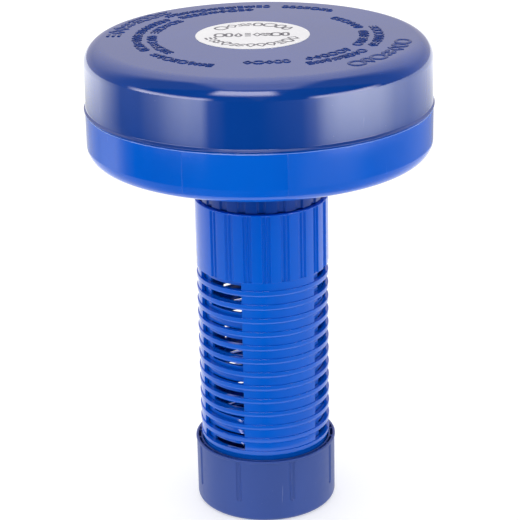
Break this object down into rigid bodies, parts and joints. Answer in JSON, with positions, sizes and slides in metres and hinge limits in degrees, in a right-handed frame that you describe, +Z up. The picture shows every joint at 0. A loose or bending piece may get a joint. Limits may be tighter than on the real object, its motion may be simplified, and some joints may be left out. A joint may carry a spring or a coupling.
{
  "type": "floating chlorine dispenser",
  "caption": "Floating dispenser for pool tablets: a wide two-shell float over a slotted basket with a turning flow sleeve and a screw-on bottom cap.",
  "frame": {"origin": "centre of the face that the bottom cap stands on", "axes": "+Z up along the column to the float, -Y towards the front of the dispenser"},
  "size_m": [0.226, 0.226, 0.3238],
  "materials": {
    "navy_gloss": "glossy moulded navy plastic",
    "blue_gloss": "glossy moulded mid blue plastic",
    "navy_satin": "satin moulded navy plastic",
    "label_vinyl": "printed white vinyl",
    "gasket_rubber": "soft black rubber"
  },
  "bodies": {
    "float_and_basket": {"float_top_shell": "navy_gloss", "float_lower_shell": "blue_gloss", "seam_gasket": "gasket_rubber", "top_label": "label_vinyl", "neck_coupling_nut": "navy_gloss", "neck_gasket": "gasket_rubber", "tablet_basket": "blue_gloss"},
    "flow_sleeve": {"flow_sleeve": "blue_gloss"},
    "cap_gasket": {"cap_gasket": "gasket_rubber"},
    "bottom_cap": {"bottom_cap": "navy_satin"}
  },
  "joints": [
    {"name": "sleeve_turn", "type": "hinge", "parent": "float_and_basket", "child": "flow_sleeve", "pos_m": [0, 0, 0.127], "axis": [0, 0, 1], "range_deg": [-48, 12]},
    {"name": "cap_slide", "type": "slide", "parent": "float_and_basket", "child": "cap_gasket", "axis": [0, 0, -1], "range_m": [0, 0.0126]},
    {"name": "cap_turn", "type": "hinge", "parent": "cap_gasket", "child": "bottom_cap", "pos_m": [0, 0, 0.02], "axis": [0, 0, -1], "range_deg": [0, 900]}
  ],
  "couplings": [
    {"joint": "cap_slide", "follows": "cap_turn", "m_per_rad": 0.00079577}
  ]
}
